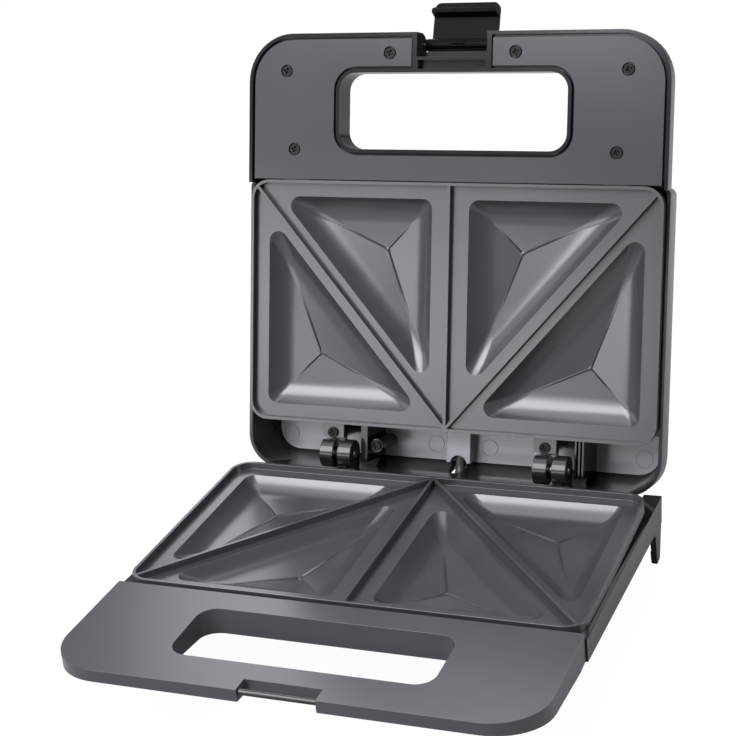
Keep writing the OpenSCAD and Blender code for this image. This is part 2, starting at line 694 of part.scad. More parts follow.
// Straps that press an element against the pockets' backs
module clamps() {
    r = element_d / 2 + inner_play;
    for (s = [-1, 1]) for (y = [plate_front + clamp_inset, plate_rear - clamp_inset])
        translate([s * element_x, y - clamp_w / 2, back_z - inner_play]) difference() {
            union() {
                translate([-r - clamp_foot, 0, -sheet_t]) cube([2 * (r + clamp_foot), clamp_w, sheet_t]);
                translate([-r - sheet_t, 0, -element_d - inner_play - sheet_t])
                    cube([2 * (r + sheet_t), clamp_w, element_d + inner_play + sheet_t]);
            }
            translate([-r, -1, -element_d - inner_play]) cube([2 * r, clamp_w + 2, element_d + 1]);
        }
}

module lower_clamps() color("#b0b0b4") in_base() clamps();
module upper_clamps() color("#b0b0b4") in_lid() turned_over() clamps();

// A pressed tray behind an element
module reflector() {
    box = oblong(element_x + tray_side, tray_front, tray_rear);
    slot_x = element_gap + 6;
    difference() {
        slab(rounded(box, tray_side / 2), reflector_z - sheet_t, reflector_z + tray_h);
        slab(rounded(inset(box, sheet_t), tray_side / 2 - sheet_t), reflector_z, reflector_z + tray_h + 1);
        translate([-slot_x, element_rear - 8, reflector_z - 5]) cube([2 * slot_x, 12, 6]);
    }
}

module lower_reflector() color("#c4c6c8") in_base() reflector();
module upper_reflector() color("#c4c6c8") in_lid() turned_over() reflector();

// A disc thermostat on the flat where the ridges meet
module thermostat() translate([0, thermostat_y, flange_z - inner_play]) {
    rotate([180, 0, 0]) cylinder(r = thermostat_r, h = thermostat_h);
    rotate([180, 0, 0]) cylinder(r = thermostat_r + 1.2, h = 0.8);
    mirrored() translate([2, -1.5, -thermostat_h - 5]) cube([0.8, 3, 6]);
}

module lower_thermostat() color("#e8e2d4") in_base() thermostat();
module upper_thermostat() color("#e8e2d4") in_lid() turned_over() thermostat();

// A fuse in its sleeve along the flat between the front pockets
module thermal_fuse() {
    lead_out = 8;
    color("#d9d4c4") in_lid() turned_over() translate([0, fuse_y, flange_z - fuse_r - inner_play]) {
        rotate([-90, 0, 0]) cylinder(r = fuse_r, h = fuse_length);
        translate([0, -lead_out, 0]) rotate([-90, 0, 0])
            cylinder(r = fuse_r / 4, h = fuse_length + 2 * lead_out);
    }
}

module terminal_block() {
    wire_r = 1.6;
    box = terminal_box;
    color("#e6e0d0") in_base() translate([0, terminal_y, terminal_floor])
        difference() {
            translate([-box.x / 2, -box.y / 2, 0]) cube(box);
            for (x = [-terminal_pitch, 0, terminal_pitch]) {
                translate([x, -box.y / 2 - 1, box.z / 2]) rotate([-90, 0, 0])
                    cylinder(r = wire_r, h = box.y + 2);
                post([x, 0], 2, box.z + 1, wire_r);
            }
        }
}

module cord_gland() {
    color("#141416") in_base() translate([gland_at.x, plate_rear - 11.4, gland_at.y]) rotate([-90, 0, 0])
        difference() {
            union() {
                cylinder(d = gland_d, h = gland_length);
                translate([0, 0, 13.2]) cylinder(d = gland_d + 3, h = 2);
            }
            translate([0, 0, -1]) cylinder(d = cord_bore_d, h = gland_length + 2);
        }
}

module front_feet() {
    color("#1b1b1b") in_base() mirrored() {
        post(foot_at, -base_height, -base_depth - 0.1, foot_r);
        post(foot_at, -base_depth - 0.2, -base_depth + 4.4, 2.4);
    }
}

// The sleeve leaves the base straight, bends up, and ends straight in the lid's duct
lead_side = opened(0, lead_n);
lead_way = turn([-1, 0], open_angle);
lead_meet = lead_side.x + lead_way.x * (lead_z - lead_side.y) / lead_way.y;
lead_turn = acos(lead_way.x);
lead_tangent = lead_bend * tan(lead_turn / 2);
lead_start = plate_rear - 7;
lead_middle = [lead_meet - lead_tangent, lead_z + lead_bend];
function lead_ring(p, way) = [for (a = [0:22.5:337.5])
    [lead_d / 2 * cos(a), p.x + lead_d / 2 * sin(a) * way.y, p.y - lead_d / 2 * sin(a) * way.x]];
module lead_sleeve() {
    color("#3a3a3c") in_base() loft(concat(
        [lead_ring([lead_start, lead_z], [1, 0])],
        [for (k = [0:8]) let(a = lead_turn * k / 8)
            lead_ring(lead_middle + lead_bend * [sin(a), -cos(a)], [cos(a), sin(a)])],
        [lead_ring(lead_side, lead_way)]));
}

// Lid
module latch_block(d) translate([-notch_x - d, handle_front - 1, -2])
    cube([2 * (notch_x + d), grip_front - handle_front + 2, 42]);

module notch_cut(z0, z1, y1) translate([-notch_x, handle_front - 1, z0])
    cube([notch_w, y1 - handle_front + 1, z1 - z0]);

module lid_outer() {
    loft([for (q = [[0, lid_rim_z], [0, 18], [2.3, lid_height - 5], [3.2, lid_height - 2.5],
        [5, lid_height - 0.8], [7.5, lid_height]]) lifted(body_outline(q.x), q.y)]);
    intersection() {
        loft([for (q = [[0, rim_gap], [0, handle_back_z - 6.5], [1.5, handle_back_z - 2.8],
            [3.4, handle_back_z - 0.8], [5.6, handle_back_z]]) lifted(handle_outline(q.x), q.y)]);
        translate([-body_x, handle_front - 1, 0])
            cube([2 * body_x, lid_front + wall / 2 - handle_front + 1, 20]);
    }
}

module lid_shell() {
    color("#232327") in_lid() {
        difference() {
            lid_outer();
            loft([for (q = [[0, -1], [0, 18], [2.3, lid_height - 5.5], [4.4, lid_inner_z]])
                lifted(body_outline(wall + q.x), q.y)]);
            difference() {
                loft([for (q = [[0, -1], [0, handle_back_z - 6.5], [1.7, handle_back_z - 3],
                    [3.4, handle_back_z - 2]]) lifted(handle_outline(wall + q.x), q.y)]);
                slab(grip_outline(wall), 0, handle_back_z);
                latch_block(2.4);
            }
            slab(grip_outline(0), -1, 40);
            // Latch notch, which a lip behind the latch's hub narrows, and the slot behind its bar
            notch_cut(-1, notch_lip_z, lid_notch_y);
            notch_cut(-1, 40, latch_y + latch_hub_r + 0.8);
            notch_cut(latch_z - 0.8, 40, latch_y + latch_hub_r + 1.5);
            translate([-notch_x + 0.7, lid_notch_y + 1.6, -1]) cube([notch_w - 1.4, 4.6, 6]);
            bar(-notch_x - 2, notch_x + 2, latch_y, latch_z, latch_pin_d / 2 + fixed_play);
            // Ways through the rear wall for the sleeve and for the base's hinge brackets
            translate([-lead_d / 2 - 0.5, lid_rear - 8, lead_n - 11])
                cube([lead_d + 1, 12, lead_d / 2 + 11.7]);
            for (x = base_knuckles) translate([x - knuckle_w / 2 - 0.8, lid_rear - 5, 0])
                cube([knuckle_w + 1.6, 12, lid_rim_z + 5]);
            // Rings that the mould's ejectors leave on the inside
            for (x = marks) difference() {
                post([x, -3.6], lid_inner_z - 1, lid_inner_z + 0.4, mark_r);
                post([x, -3.6], lid_inner_z - 2, lid_inner_z + 1, mark_r - 0.5);
            }
            // Seats of the indicator lenses
            for (s = [-1, 1]) post([s * lamp_x, lamp_y], 20, lid_height + 1, lamp_r + 0.1);
        }
        // Ledges under the panel
        difference() {
            slab(handle_outline(wall - 0.1), ledge_z + 0.1, ledge_z + 2);
            slab(handle_outline(wall + 3), 0, 20);
            translate([-body_x, plate_front - 2, 0]) cube([2 * body_x, 40, 20]);
            latch_block(1);
        }
        difference() {
            slab(grip_outline(wall + 3), ledge_z + 0.1, ledge_z + 2);
            slab(grip_outline(wall - 0.1), 0, 20);
            latch_block(1);
        }
        // Screw posts
        mirrored() difference() {
            union() {
                post([lug_x, lug_y], upper_lug_z + 0.1, handle_back_z - 1, boss_r);
                post(corner_screw, ledge_z + 0.1, handle_back_z - 1, boss_r);
                post(latch_screw, ledge_z + 0.1, handle_back_z - 1, boss_r);
            }
            for (p = panel_screws) post(p, 0, 12.5, screw_d / 2 + fixed_play);
        }
        for (x = lid_knuckles) difference() {
            post([x, hinge_screw_y], upper_lug_z + bracket_t + 0.1, lid_height - 1, 4.6);
            post([x, hinge_screw_y], 0, 21, screw_d / 2 + fixed_play);
        }
        // Post of the earth screw
        difference() {
            post(earth_screw, 10.3, lid_height - 1, 3.6);
            post(earth_screw, 10, 22, screw_d / 2 + fixed_play);
        }
        // One broad rib beside the left hinge, and three thin ones beside the right hinge
        hinge_rib(base_knuckles[0] + knuckle_w / 2 + 1.6, 3.6);
        for (k = [0:2]) hinge_rib(base_knuckles[1] + knuckle_w / 2 + 1.6 + 1.9 * k, 0.9);
    }
}

module hinge_rib(x, t) translate([x, plate_rear + 0.6, 5.5])
    cube([t, -plate_rear + 4, lid_height - 6.5]);

module earth_lead_screw() {
    color("silver") in_lid() translate([earth_screw.x, earth_screw.y, 8.9]) rotate([180, 0, 0]) screw(11);
}

module lid_panel() {
    color("#3b3b40") in_lid() difference() {
        union() {
            translate([0, 0, panel_z]) linear_extrude(panel_t) difference() {
                intersection() {
                    polygon(handle_outline(wall + groove));
                    translate([-body_x, handle_front]) square([2 * body_x, plate_front - 0.5 - handle_front]);
                }
                polygon(grip_outline(wall + groove));
                translate([-notch_x - 2.9, handle_front])
                    square([notch_w + 5.8, grip_front - handle_front + 4]);
            }
            mirrored() post([lug_x, lug_y], ledge_z - 0.1, rim_gap + rim_h - 0.1, boss_r);
        }
        mirrored() for (p = panel_screws) {
            post(p, 0, 9, screw_d / 2 + fixed_play);
            post(p, 0, panel_z + screw_sink + screw_head_h + 0.1, screw_head_d / 2 + 0.5);
        }
    }
}

module lid_panel_screws() {
    color("#2a2a2c") in_lid() mirrored() for (p = panel_screws)
        translate([p.x, p.y, panel_z + screw_sink]) rotate([180, 0, 0]) screw(11);
}

module lead_duct() {
    x = 6.7;
    t = 1.5;
    top = lead_n - lead_d / 2 - 1.9;
    y0 = plate_rear + 0.4;
    y1 = lid_rear - wall - 4.6;
    color("#232327") in_lid() difference() {
        translate([-x, y0, top]) cube([2 * x, y1 - y0, lid_inner_z - top - 0.1]);
        translate([-x + t, y0 - 1, top + t]) cube([2 * (x - t), y1 - y0 + 2, lid_inner_z - top]);
        post([0, y1 + 0.6], top - 1, top + 2, x - 2.2);
    }
}

module lens() {
    cylinder(r = lamp_r, h = lid_height - lid_inner_z + 1.2);
    translate([0, 0, -1.2]) cylinder(r = lamp_r + 1.4, h = 1.1);
    translate([0, 0, -0.2]) cylinder(r = lamp_r, h = 1);
}

module power_lens() color("#b01818") in_lid() translate([-lamp_x, lamp_y, lid_inner_z]) lens();
module ready_lens() color("#1f8f3a") in_lid() translate([lamp_x, lamp_y, lid_inner_z]) lens();

module indicator_lamps() {
    color("#e8c8a8") in_lid() for (s = [-1, 1])
        post([s * lamp_x, lamp_y], lid_inner_z - 9.5, lid_inner_z - 1.5, lamp_r - 0.8);
}

// The latch as it hangs when shut, drawn about its pin
module latch() {
    outer = -latch_face - latch_t;
    hook_top = -sqrt(hook_r * hook_r - latch_face * latch_face);
    hook_tip = -1.8;
    tip_r = latch_t / 2;
    function on_hook(y) = [y, -sqrt(hook_r * hook_r - y * y)];
    profile = concat(
        [for (a = [90:-15:-90]) latch_hub_r * [cos(a), sin(a)]],
        [[-latch_face + 1.5, -latch_hub_r], [-latch_face, -latch_hub_r - 1.5], [-latch_face, hook_top]],
        [for (y = [-latch_face + 0.8:0.8:hook_tip]) on_hook(y)],
        [on_hook(hook_tip), [hook_tip - 0.4, 2.2 - hook_r - hook_t], [-latch_face, -hook_r - hook_t]],
        [for (a = [0:-30:-180]) [-latch_face - tip_r, tip_r - latch_drop] + tip_r * [cos(a), sin(a)]],
        [[outer, latch_hub_r - 3]],
        [for (a = [180:-15:90]) [outer + 3, latch_hub_r - 3] + 3 * [cos(a), sin(a)]]);
    // The hub's ribs and its thumb boss face inwards while the latch stands open
    function when_open(y, z) = turn([y, z], -latch_open);
    rib_1 = when_open(0.7, -3);
    rib_2 = when_open(2.5, -1.8);
    boss = when_open(-0.8, -2.2);
    color("#121214") in_latch() difference() {
        union() {
            side_profile(profile, -latch_w / 2, latch_w / 2);
            bar(-latch_w / 2, latch_w / 2, rib_1.x, rib_1.y, 0.3);
            bar(-latch_w / 2, latch_w / 2, rib_2.x, rib_2.y, 0.3);
            bar(-3.3, 3.3, boss.x, boss.y, 1.2);
        }
        bar(-latch_w, latch_w, 0, 0, latch_pin_d / 2 + running_play);
        // The free corners of the finger tab are round
        mirrored() translate([latch_w / 2 - 4, 0, 4 - latch_drop]) rotate([90, 0, 0]) difference() {
            translate([0, -5, -1]) cube([5, 5, 40]);
            translate([0, 0, -2]) cylinder(r = 4, h = 42);
        }
    }
}

module latch_pin() {
    color("silver") in_lid() bar(-notch_x - 1.9, notch_x + 1.9, latch_y, latch_z, latch_pin_d / 2);
}

base_shell();
base_handle();
base_handle_cover();
catch_bar();
lower_plate();
lower_element();
lower_reflector();
lower_clamps();
lower_thermostat();
terminal_block();
cord_gland();
base_hinge_brackets();
base_hinge_screws();
base_screws();
front_feet();
lead_sleeve();
lid_shell();
lid_panel();
lid_panel_screws();
lid_hinge_brackets();
lid_hinge_screws();
hinge_pins();
earth_lead_screw();
upper_plate();
upper_element();
upper_reflector();
upper_clamps();
upper_thermostat();
thermal_fuse();
lead_duct();
power_lens();
ready_lens();
indicator_lamps();
latch();
latch_pin();
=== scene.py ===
# A sandwich toaster standing open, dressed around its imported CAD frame. Metres, z up.
import json
import math

import bmesh
import bpy
from mathutils import Matrix, Vector


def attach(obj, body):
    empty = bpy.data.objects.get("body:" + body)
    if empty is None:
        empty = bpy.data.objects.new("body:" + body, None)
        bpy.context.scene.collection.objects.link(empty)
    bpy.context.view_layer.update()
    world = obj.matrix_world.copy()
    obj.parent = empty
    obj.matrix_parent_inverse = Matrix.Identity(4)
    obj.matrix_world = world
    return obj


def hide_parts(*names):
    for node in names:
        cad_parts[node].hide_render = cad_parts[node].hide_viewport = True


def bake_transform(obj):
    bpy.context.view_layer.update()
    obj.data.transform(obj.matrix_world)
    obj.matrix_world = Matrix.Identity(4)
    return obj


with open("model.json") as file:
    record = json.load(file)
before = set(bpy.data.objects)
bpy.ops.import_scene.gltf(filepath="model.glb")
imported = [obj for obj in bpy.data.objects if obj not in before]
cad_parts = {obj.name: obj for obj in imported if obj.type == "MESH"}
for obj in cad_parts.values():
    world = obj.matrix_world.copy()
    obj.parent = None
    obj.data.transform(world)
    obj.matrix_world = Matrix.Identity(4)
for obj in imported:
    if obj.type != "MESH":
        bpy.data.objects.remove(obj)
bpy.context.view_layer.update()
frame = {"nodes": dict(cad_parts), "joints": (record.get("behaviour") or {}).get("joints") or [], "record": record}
scene = bpy.context.scene
bodyOf = {node: body for body, nodes in frame["record"]["behaviour"]["bodies"].items() for node in nodes}
lidHinge = {joint["name"]: joint for joint in frame["joints"]}["lid_hinge"]
hingeAxis = Vector(lidHinge["pos_m"])
openAngle = math.radians(lidHinge["range_deg"][1])
shutting = Matrix.Rotation(openAngle, 3, "X")  # from the open lid, as packed, to the shut one
opening = Matrix.Rotation(-openAngle, 3, "X")
print("frame loaded:", len(frame["nodes"]), "nodes")


def newFinish(name):
    finish = bpy.data.materials.new(name)
    finish.use_nodes = True
    tree = finish.node_tree
    return finish, tree, tree.nodes["Principled BSDF"]


def objectNoise(tree, scale, detail, rough, stretch):
    place = tree.nodes.new("ShaderNodeTexCoord")
    turn = tree.nodes.new("ShaderNodeMapping")
    turn.inputs["Scale"].default_value = stretch
    noise = tree.nodes.new("ShaderNodeTexNoise")
    noise.inputs["Scale"].default_value = scale
    noise.inputs["Detail"].default_value = detail
    noise.inputs["Roughness"].default_value = rough
    tree.links.new(place.outputs["Object"], turn.inputs["Vector"])
    tree.links.new(turn.outputs["Vector"], noise.inputs["Vector"])
    return noise.outputs["Fac"]


def twoTones(tree, source, dark, light):
    ramp = tree.nodes.new("ShaderNodeValToRGB")
    ramp.color_ramp.elements[0].color = (*dark, 1)
    ramp.color_ramp.elements[1].color = (*light, 1)
    tree.links.new(source, ramp.inputs["Fac"])
    return ramp.outputs["Color"]


def between(tree, source, low, high):
    span = tree.nodes.new("ShaderNodeMapRange")
    span.inputs["To Min"].default_value = low
    span.inputs["To Max"].default_value = high
    tree.links.new(source, span.inputs["Value"])
    return span.outputs["Result"]


def relief(tree, source, depth):
    bump = tree.nodes.new("ShaderNodeBump")
    bump.inputs["Strength"].default_value = 1.0
    bump.inputs["Distance"].default_value = depth
    tree.links.new(source, bump.inputs["Height"])
    return bump.outputs["Normal"]


# What a finish has unless its own look says otherwise
usualLook = {"metal": 0.0, "ior": 1.5, "coatRough": 0.08, "cloudDetail": 4, "cloudRough": 0.6, "grainDetail": 2,
             "grainRough": 0.5, "grainDepth": 2e-5, "stretch": (1, 1, 1)}


# Broad clouds vary colour and gloss, and a fine grain gives relief, as on a used moulding or sheet
def usedFinish(name, ownLook):
    look = {**usualLook, **ownLook}
    finish, tree, shader = newFinish(name)
    shader.inputs["Metallic"].default_value = look["metal"]
    shader.inputs["IOR"].default_value = look["ior"]
    if "coat" in look:
        shader.inputs["Coat Weight"].default_value = look["coat"]
        shader.inputs["Coat Roughness"].default_value = look["coatRough"]
    clouds = objectNoise(tree, look["cloudScale"], look["cloudDetail"], look["cloudRough"], look["stretch"])
    tree.links.new(twoTones(tree, clouds, look["dark"], look["light"]), shader.inputs["Base Color"])
    tree.links.new(between(tree, clouds, *look["rough"]), shader.inputs["Roughness"])
    grain = objectNoise(tree, look["grainScale"], look["grainDetail"], look["grainRough"], look["stretch"])
    tree.links.new(relief(tree, grain, look["grainDepth"]), shader.inputs["Normal"])
    return finish


finishLooks = {
    # Mouldings of the base and lid
    "housingBlack": {"dark": (0.012, 0.012, 0.014), "light": (0.017, 0.017, 0.020), "rough": (0.10, 0.15),
                     "cloudScale": 25, "grainScale": 260, "grainDepth": 4e-6, "ior": 1.45},
    # The base handle: its lighter black is partly its own tone and partly a painted sheen for the bright gloss on its
    # top
    "handleBlackWithPaintedSheen": {"dark": (0.046, 0.046, 0.052), "light": (0.054, 0.054, 0.061), "rough": (0.20, 0.26),
                    "cloudScale": 20, "cloudDetail": 0, "grainScale": 220, "grainDepth": 1e-6},
    "panelBlack": {"dark": (0.031, 0.031, 0.036), "light": (0.039, 0.039, 0.045), "rough": (0.21, 0.25),
                   "cloudScale": 20, "cloudDetail": 0, "grainScale": 300, "grainDepth": 1e-6},
    # The lead duct and the lid's inner faces behind the upper plate. Their pale colour is partly the moulding's own
    # and partly painted light, raised to lift the shade deep in the pocket under the plate.
    "innerPaleWithPaintedLight": {"dark": (0.440, 0.440, 0.464), "light": (0.480, 0.480, 0.506), "rough": (0.16, 0.22),
                   "cloudScale": 30, "grainScale": 300, "grainDepth": 4e-6},
    # The plates' non-stick coating
    "coatedPlate": {"dark": (0.034, 0.034, 0.038), "light": (0.042, 0.042, 0.048), "rough": (0.24, 0.27),
                    "cloudScale": 60, "cloudDetail": 0, "grainScale": 420, "grainDepth": 8e-7, "ior": 1.7},
    "knuckleBlack": {"dark": (0.010, 0.010, 0.011), "light": (0.015, 0.015, 0.016), "rough": (0.14, 0.22),
                     "cloudScale": 80, "grainScale": 300, "grainDepth": 6e-6},
    # The latch: black plastic, made darker still and given a weaker reflection as painted shade, because it stands in
    # shade
    "latchBlackWithPaintedShade": {"dark": (0.002, 0.002, 0.002), "light": (0.004, 0.004, 0.005), "rough": (0.22, 0.30),
                   "cloudScale": 80, "grainScale": 300, "grainDepth": 6e-6, "ior": 1.10},
    "pinSteel": {"dark": (0.42, 0.42, 0.43), "light": (0.56, 0.56, 0.57), "rough": (0.22, 0.36), "metal": 1.0,
                 "cloudScale": 300, "grainScale": 4000, "stretch": (1, 6, 6)},
    "screwBlack": {"dark": (0.004, 0.004, 0.004), "light": (0.012, 0.012, 0.013), "rough": (0.26, 0.40),
                   "cloudScale": 500, "grainScale": 5000, "ior": 1.28},
    # Reflectors and clamps, with the streaks of rolled sheet from front to back
    "brightSheet": {"dark": (0.62, 0.63, 0.65), "light": (0.74, 0.75, 0.77), "rough": (0.28, 0.42), "metal": 1.0,
                    "cloudScale": 90, "grainScale": 3000, "stretch": (8, 1, 1)},
    "elementSteel": {"dark": (0.22, 0.19, 0.17), "light": (0.36, 0.34, 0.33), "rough": (0.38, 0.55), "metal": 1.0,
                     "cloudScale": 120, "grainScale": 3000},
    "footRubber": {"dark": (0.016, 0.016, 0.016), "light": (0.024, 0.024, 0.024), "rough": (0.6, 0.8),
                   "cloudScale": 200, "grainScale": 1500, "grainDepth": 5e-5},
    # Ceramic and heat-proof plastic inside
    "offWhite": {"dark": (0.62, 0.58, 0.50), "light": (0.72, 0.68, 0.60), "rough": (0.45, 0.6),
                 "cloudScale": 120, "grainScale": 2500},
    "sleeveGrey": {"dark": (0.05, 0.05, 0.052), "light": (0.09, 0.09, 0.092), "rough": (0.32, 0.5),
                   "cloudScale": 1400, "grainScale": 2500, "grainDepth": 8e-5},
    "redLens": {"dark": (0.42, 0.010, 0.012), "light": (0.52, 0.016, 0.018), "rough": (0.08, 0.14),
                "cloudScale": 200, "grainScale": 1500, "coat": 0.5},
    "greenLens": {"dark": (0.008, 0.26, 0.06), "light": (0.012, 0.34, 0.08), "rough": (0.08, 0.14),
                  "cloudScale": 200, "grainScale": 1500, "coat": 0.5},
    "lampGlass": {"dark": (0.62, 0.52, 0.44), "light": (0.70, 0.60, 0.52), "rough": (0.10, 0.18),
                  "cloudScale": 200, "grainScale": 1500},
}
finishes = {name: usedFinish(name, look) for name, look in finishLooks.items()}
print("finishes:", len(finishes))


# A node's loose triangles, joined where their corners meet, with what is flat to `flat` degrees made one face
def mergedCopy(node, flat):
    mergeGap = 5e-6
    bm = bmesh.new()
    bm.from_mesh(frame["nodes"][node].data)
    bmesh.ops.remove_doubles(bm, verts=bm.verts, dist=mergeGap)
    if flat:
        bmesh.ops.dissolve_limit(bm, angle_limit=math.radians(flat), verts=bm.verts, edges=bm.edges)
    return bm


def addPiece(bm, name, finish, node):
    mesh = bpy.data.meshes.new(name)
    bm.to_mesh(mesh)
    bm.free()
    mesh.materials.append(finishes[finish])
    piece = bpy.data.objects.new(name, mesh)
    scene.collection.objects.link(piece)
    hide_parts(node)
    return piece


def smoothBelow(bm, angle):
    for face in bm.faces:
        face.smooth = True
    for edge in bm.edges:
        edge.smooth = edge.calc_face_angle(0) < math.radians(angle)


def softenEdges(piece, width, segments, fromAngle):
    bevel = piece.modifiers.new("edgeRounding", "BEVEL")
    bevel.width = width
    bevel.segments = segments
    bevel.limit_method = "ANGLE"
    bevel.angle_limit = math.radians(fromAngle)
    bevel.use_clamp_overlap = True
    bevel.miter_outer = "MITER_ARC"
    evenNormals = piece.modifiers.new("evenNormals", "WEIGHTED_NORMAL")
    evenNormals.keep_sharp = True


# Where a point of the open model is when the lid is shut
def asShut(point, body):
    if body == "base":
        return point
    return hingeAxis + shutting @ (point - hingeAxis)


# "from" is measured from the hinge axis, with the lid shut, and so is `above` in the next function
# The inner faces' pale finish is partly their own tone and partly painted light
innerFaces = {"from": -0.0158, "finish": "innerPaleWithPaintedLight", "facing": -0.9, "splitGap": 1e-6}


# Marks the lid's faces that look at the plates and lie higher than `above`, for the pale finish that carries painted
# light. They are first split where the pale part begins, because the shell's ceiling is one large face.
def markInner(bm, above, body):
    bmesh.ops.bisect_plane(bm, geom=bm.verts[:] + bm.edges[:] + bm.faces[:], dist=innerFaces["splitGap"],
                           plane_co=hingeAxis + opening @ Vector((0, innerFaces["from"], 0)),
                           plane_no=opening @ Vector((0, 1, 0)))
    for face in bm.faces:
        middle = asShut(face.calc_center_median(), body) - hingeAxis
        looksDown = (shutting @ face.normal).z < innerFaces["facing"]
        if looksDown and middle.z > above and middle.y > innerFaces["from"]:
            face.material_index = 1


# These keep their CAD shape
carriedOver = {
    "lower_element": "elementSteel", "upper_element": "elementSteel", "lower_reflector": "brightSheet",
    "upper_reflector": "brightSheet", "lower_clamps": "brightSheet", "upper_clamps": "brightSheet",
    "lower_thermostat": "offWhite", "upper_thermostat": "offWhite", "terminal_block": "offWhite",
    "thermal_fuse": "offWhite", "indicator_lamps": "lampGlass", "latch_pin": "pinSteel",
    "earth_lead_screw": "screwBlack",
}
for node, finish in carriedOver.items():
    mesh = frame["nodes"][node].data
    mesh.materials.clear()
    mesh.materials.append(finishes[finish])
print("carried over:", len(carriedOver))

# These are copied and get rounded edges: "round" is the bevel's width, "smooth" the angle up to which they shade as
# one surface, and "innerAbove" the height from which the inner faces are pale, partly with painted light
usualPiece = {"flat": 0.3, "smooth": 32, "segments": 2, "roundFrom": 40}
pieceLooks = {
    "base_shell": {"name": "baseShell", "finish": "housingBlack", "round": 0.0005},
    # The handle's lighter black is partly a painted sheen
    "base_handle": {"name": "baseHandle", "finish": "handleBlackWithPaintedSheen", "round": 0.0009, "segments": 3},
    "base_handle_cover": {"name": "baseHandleCover", "finish": "housingBlack", "round": 0.0004},
    "catch_bar": {"name": "catchBar", "finish": "knuckleBlack"},
    "cord_gland": {"name": "cordGland", "finish": "footRubber", "round": 0.0004},
    "base_hinge_brackets": {"name": "baseHingeBrackets", "finish": "knuckleBlack", "round": 0.0006, "segments": 3},
    "base_hinge_screws": {"name": "baseHingeScrews", "finish": "screwBlack", "round": 0.00015},
    "base_screws": {"name": "baseScrews", "finish": "pinSteel", "round": 0.00015},
    "front_feet": {"name": "frontFeet", "finish": "footRubber", "round": 0.0006},
    "lid_shell": {"name": "lidShell", "finish": "housingBlack", "round": 0.0004, "smooth": 28,
                  "innerAbove": 0.030},
    "lid_panel": {"name": "lidPanel", "finish": "panelBlack", "round": 0.0004},
    "lid_panel_screws": {"name": "lidPanelScrews", "finish": "screwBlack", "round": 0.00015},
    "lid_hinge_brackets": {"name": "lidHingeBrackets", "finish": "knuckleBlack", "round": 0.0006, "segments": 3,
                           "innerAbove": 0.0045},
    "lid_hinge_screws": {"name": "lidHingeScrews", "finish": "screwBlack", "round": 0.00015},
    "hinge_pins": {"name": "hingePins", "finish": "pinSteel", "round": 0.0002},
    # The duct's pale finish is partly painted light
    "lead_duct": {"name": "leadDuct", "finish": "innerPaleWithPaintedLight", "round": 0.0004},
    "power_lens": {"name": "powerLens", "finish": "redLens", "round": 0.0004, "segments": 3},
    "ready_lens": {"name": "readyLens", "finish": "greenLens", "round": 0.0004, "segments": 3},
    # The latch's near-black is partly painted shade
    "latch": {"name": "latchHook", "finish": "latchBlackWithPaintedShade", "round": 0.0005, "segments": 3},
}


def dressNode(node, ownLook):
    look = {**usualPiece, **ownLook}
    bm = mergedCopy(node, look["flat"])
    smoothBelow(bm, look["smooth"])
    if "innerAbove" in look:
        markInner(bm, look["innerAbove"], bodyOf[node])
    piece = addPiece(bm, look["name"], look["finish"], node)
    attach(piece, bodyOf[node])
    if "innerAbove" in look:
        piece.data.materials.append(finishes[innerFaces["finish"]])
    if "round" in look:
        softenEdges(piece, look["round"], look["segments"], look["roundFrom"])


for node, look in pieceLooks.items():
    dressNode(node, look)
print("plain pieces:", len(pieceLooks))


# Depths are below the rim's top, angles in degrees
plateShape = {"ribStart": 0.0097, "pocketBottom": 0.0118, "ribRise": 1e-5, "ribAngle": 2, "wallAngle": 50,
              "levelNormal": 0.99995, "flat": 0.02, "edge": 0.00035, "edgeSegments": 2, "edgeFrom": 60}


# Such as the flats between the rim and the pockets
def isLevel(face, body):
    normal = face.normal if body == "base" else shutting @ face.normal
    return abs(normal.z) > plateShape["levelNormal"]


# The flats shade flat up to their edges and the pockets' walls run into their facets. Only the ribs that rise
# between the facets stay crisp.
def creasePlate(bm, body):
    heights = {v: asShut(v.co, body).z for v in bm.verts}
    rimTop = max(heights.values()) if body == "base" else min(heights.values())
    depth = {v: abs(height - rimTop) for v, height in heights.items()}
    for face in bm.faces:
        face.smooth = True
    for edge in bm.edges:
        angle = edge.calc_face_angle(0)
        start, end = (depth[v] for v in edge.verts)
        if all(plateShape["ribStart"] < d < plateShape["pocketBottom"] for d in (start, end)):
            rising = abs(start - end) > plateShape["ribRise"]
            edge.smooth = not rising or angle < math.radians(plateShape["ribAngle"])
        elif len({isLevel(face, body) for face in edge.link_faces}) == 2:
            edge.smooth = False
        else:
            edge.smooth = angle < math.radians(plateShape["wallAngle"])


def dressPlate(node, name):
    bm = mergedCopy(node, plateShape["flat"])
    creasePlate(bm, bodyOf[node])
    piece = addPiece(bm, name, "coatedPlate", node)
    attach(piece, bodyOf[node])
    softenEdges(piece, plateShape["edge"], plateShape["edgeSegments"], plateShape["edgeFrom"])


dressPlate("lower_plate", "lowerPlate")
dressPlate("upper_plate", "upperPlate")
print("plates dressed")


# "bendFrom" is the share of its depth at which the bend begins, and "endInset" how far before its rear end it stops
sleeveShape = {"bendFrom": 0.35, "endInset": 0.004, "longEdge": 0.004, "cuts": 4, "smooth": 50}


def dressSleeve():
    bm = mergedCopy("lead_sleeve", 0)
    longEdges = [edge for edge in bm.edges if edge.calc_length() > sleeveShape["longEdge"]]
    bmesh.ops.subdivide_edges(bm, edges=longEdges, cuts=sleeveShape["cuts"], use_grid_fill=True)
    smoothBelow(bm, sleeveShape["smooth"])
    piece = addPiece(bm, "leadSleeve", "sleeveGrey", "lead_sleeve")
    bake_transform(piece)


dressSleeve()
print("sleeve dressed")


